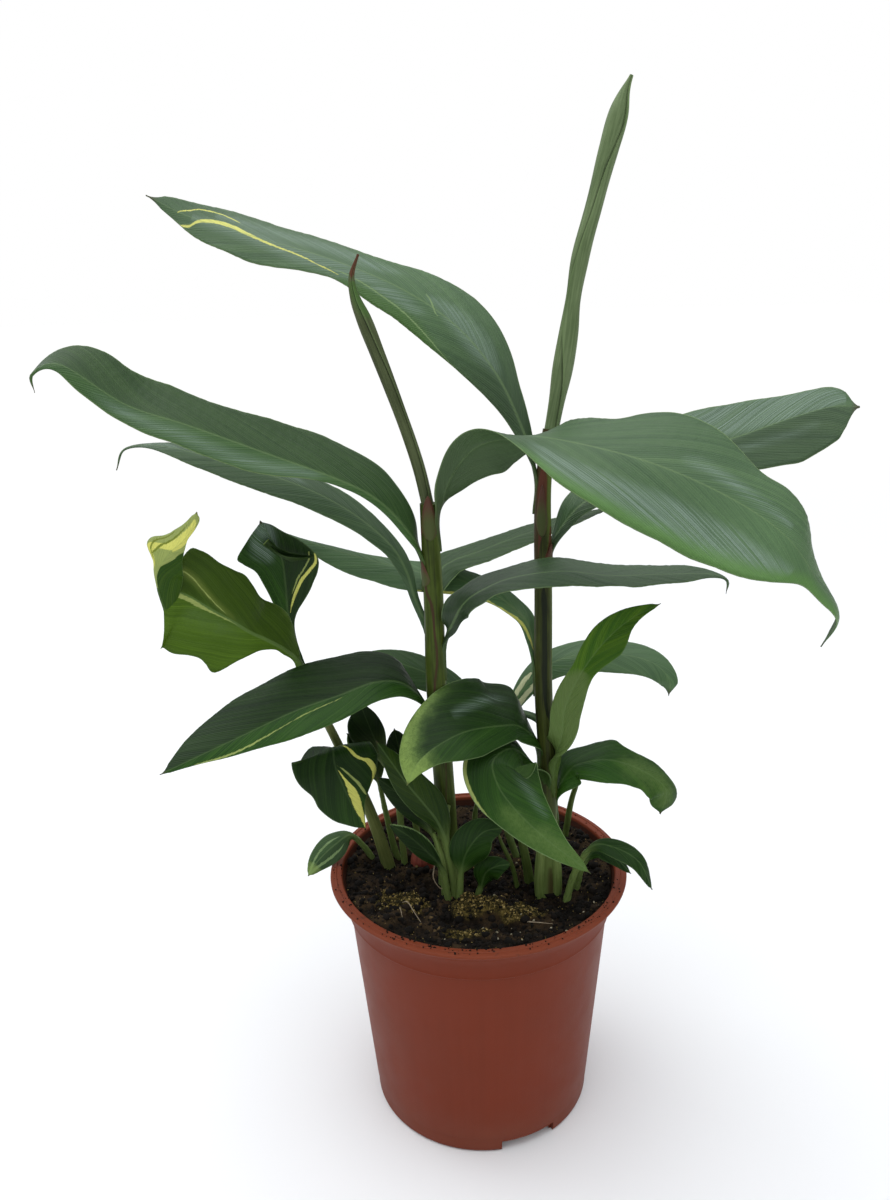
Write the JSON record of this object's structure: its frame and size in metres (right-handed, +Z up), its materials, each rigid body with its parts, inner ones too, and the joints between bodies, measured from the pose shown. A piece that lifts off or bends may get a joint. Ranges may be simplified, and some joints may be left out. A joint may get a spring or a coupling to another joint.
{
  "type": "potted shell ginger",
  "caption": "Variegated shell ginger plant: upright leafy stems, rolled spear leaves and arching striped blades, growing in a round plastic nursery pot.",
  "frame": {"origin": "middle of the flat centre foot under the pot, on the surface that the pot stands on", "axes": "+Z up along the pot's axis and the stems, -Y to the front of the plant, +X to its right as seen from the front"},
  "size_m": [0.3347, 0.155, 0.4583],
  "materials": {
    "pot_plastic": "satin terracotta brown",
    "soil": null,
    "stem": null,
    "bud": "reddish rhizome bud",
    "leaf": "satin green leaf with pale yellow stripes"
  },
  "bodies": {
    "root": {"pot": "pot_plastic", "soil": "soil", "left_stem": "stem", "right_stem": "stem", "shoot_a": "stem", "centre_stalk": "stem", "thin_stalk": "stem", "right_stalk": "stem", "back_stalk": "stem", "rhizome_bud": "bud", "left_spear": "leaf", "right_spear": "leaf", "leaf_top_left": "leaf", "leaf_big_right": "leaf", "leaf_right": "leaf", "leaf_back": "leaf", "leaf_left": "leaf", "leaf_left_low": "leaf", "leaf_cross": "leaf", "leaf_flag": "leaf", "leaf_upright": "leaf", "leaf_low_left": "leaf", "leaf_behind": "leaf", "leaf_dark": "leaf", "leaf_shadow": "leaf", "leaf_round": "leaf", "leaf_hanging": "leaf", "leaf_twisted": "leaf", "leaf_arching": "leaf", "leaf_wavy": "leaf", "leaf_rim": "leaf", "leaf_rim_small": "leaf", "leaf_mid_right": "leaf", "leaf_striped": "leaf", "leaf_pale_edge": "leaf", "leaf_left_rim": "leaf", "leaf_bright": "leaf", "leaf_dark_low": "leaf", "leaf_low": "leaf", "leaf_centre": "leaf", "leaf_small": "leaf"}
  },
  "joints": []
}
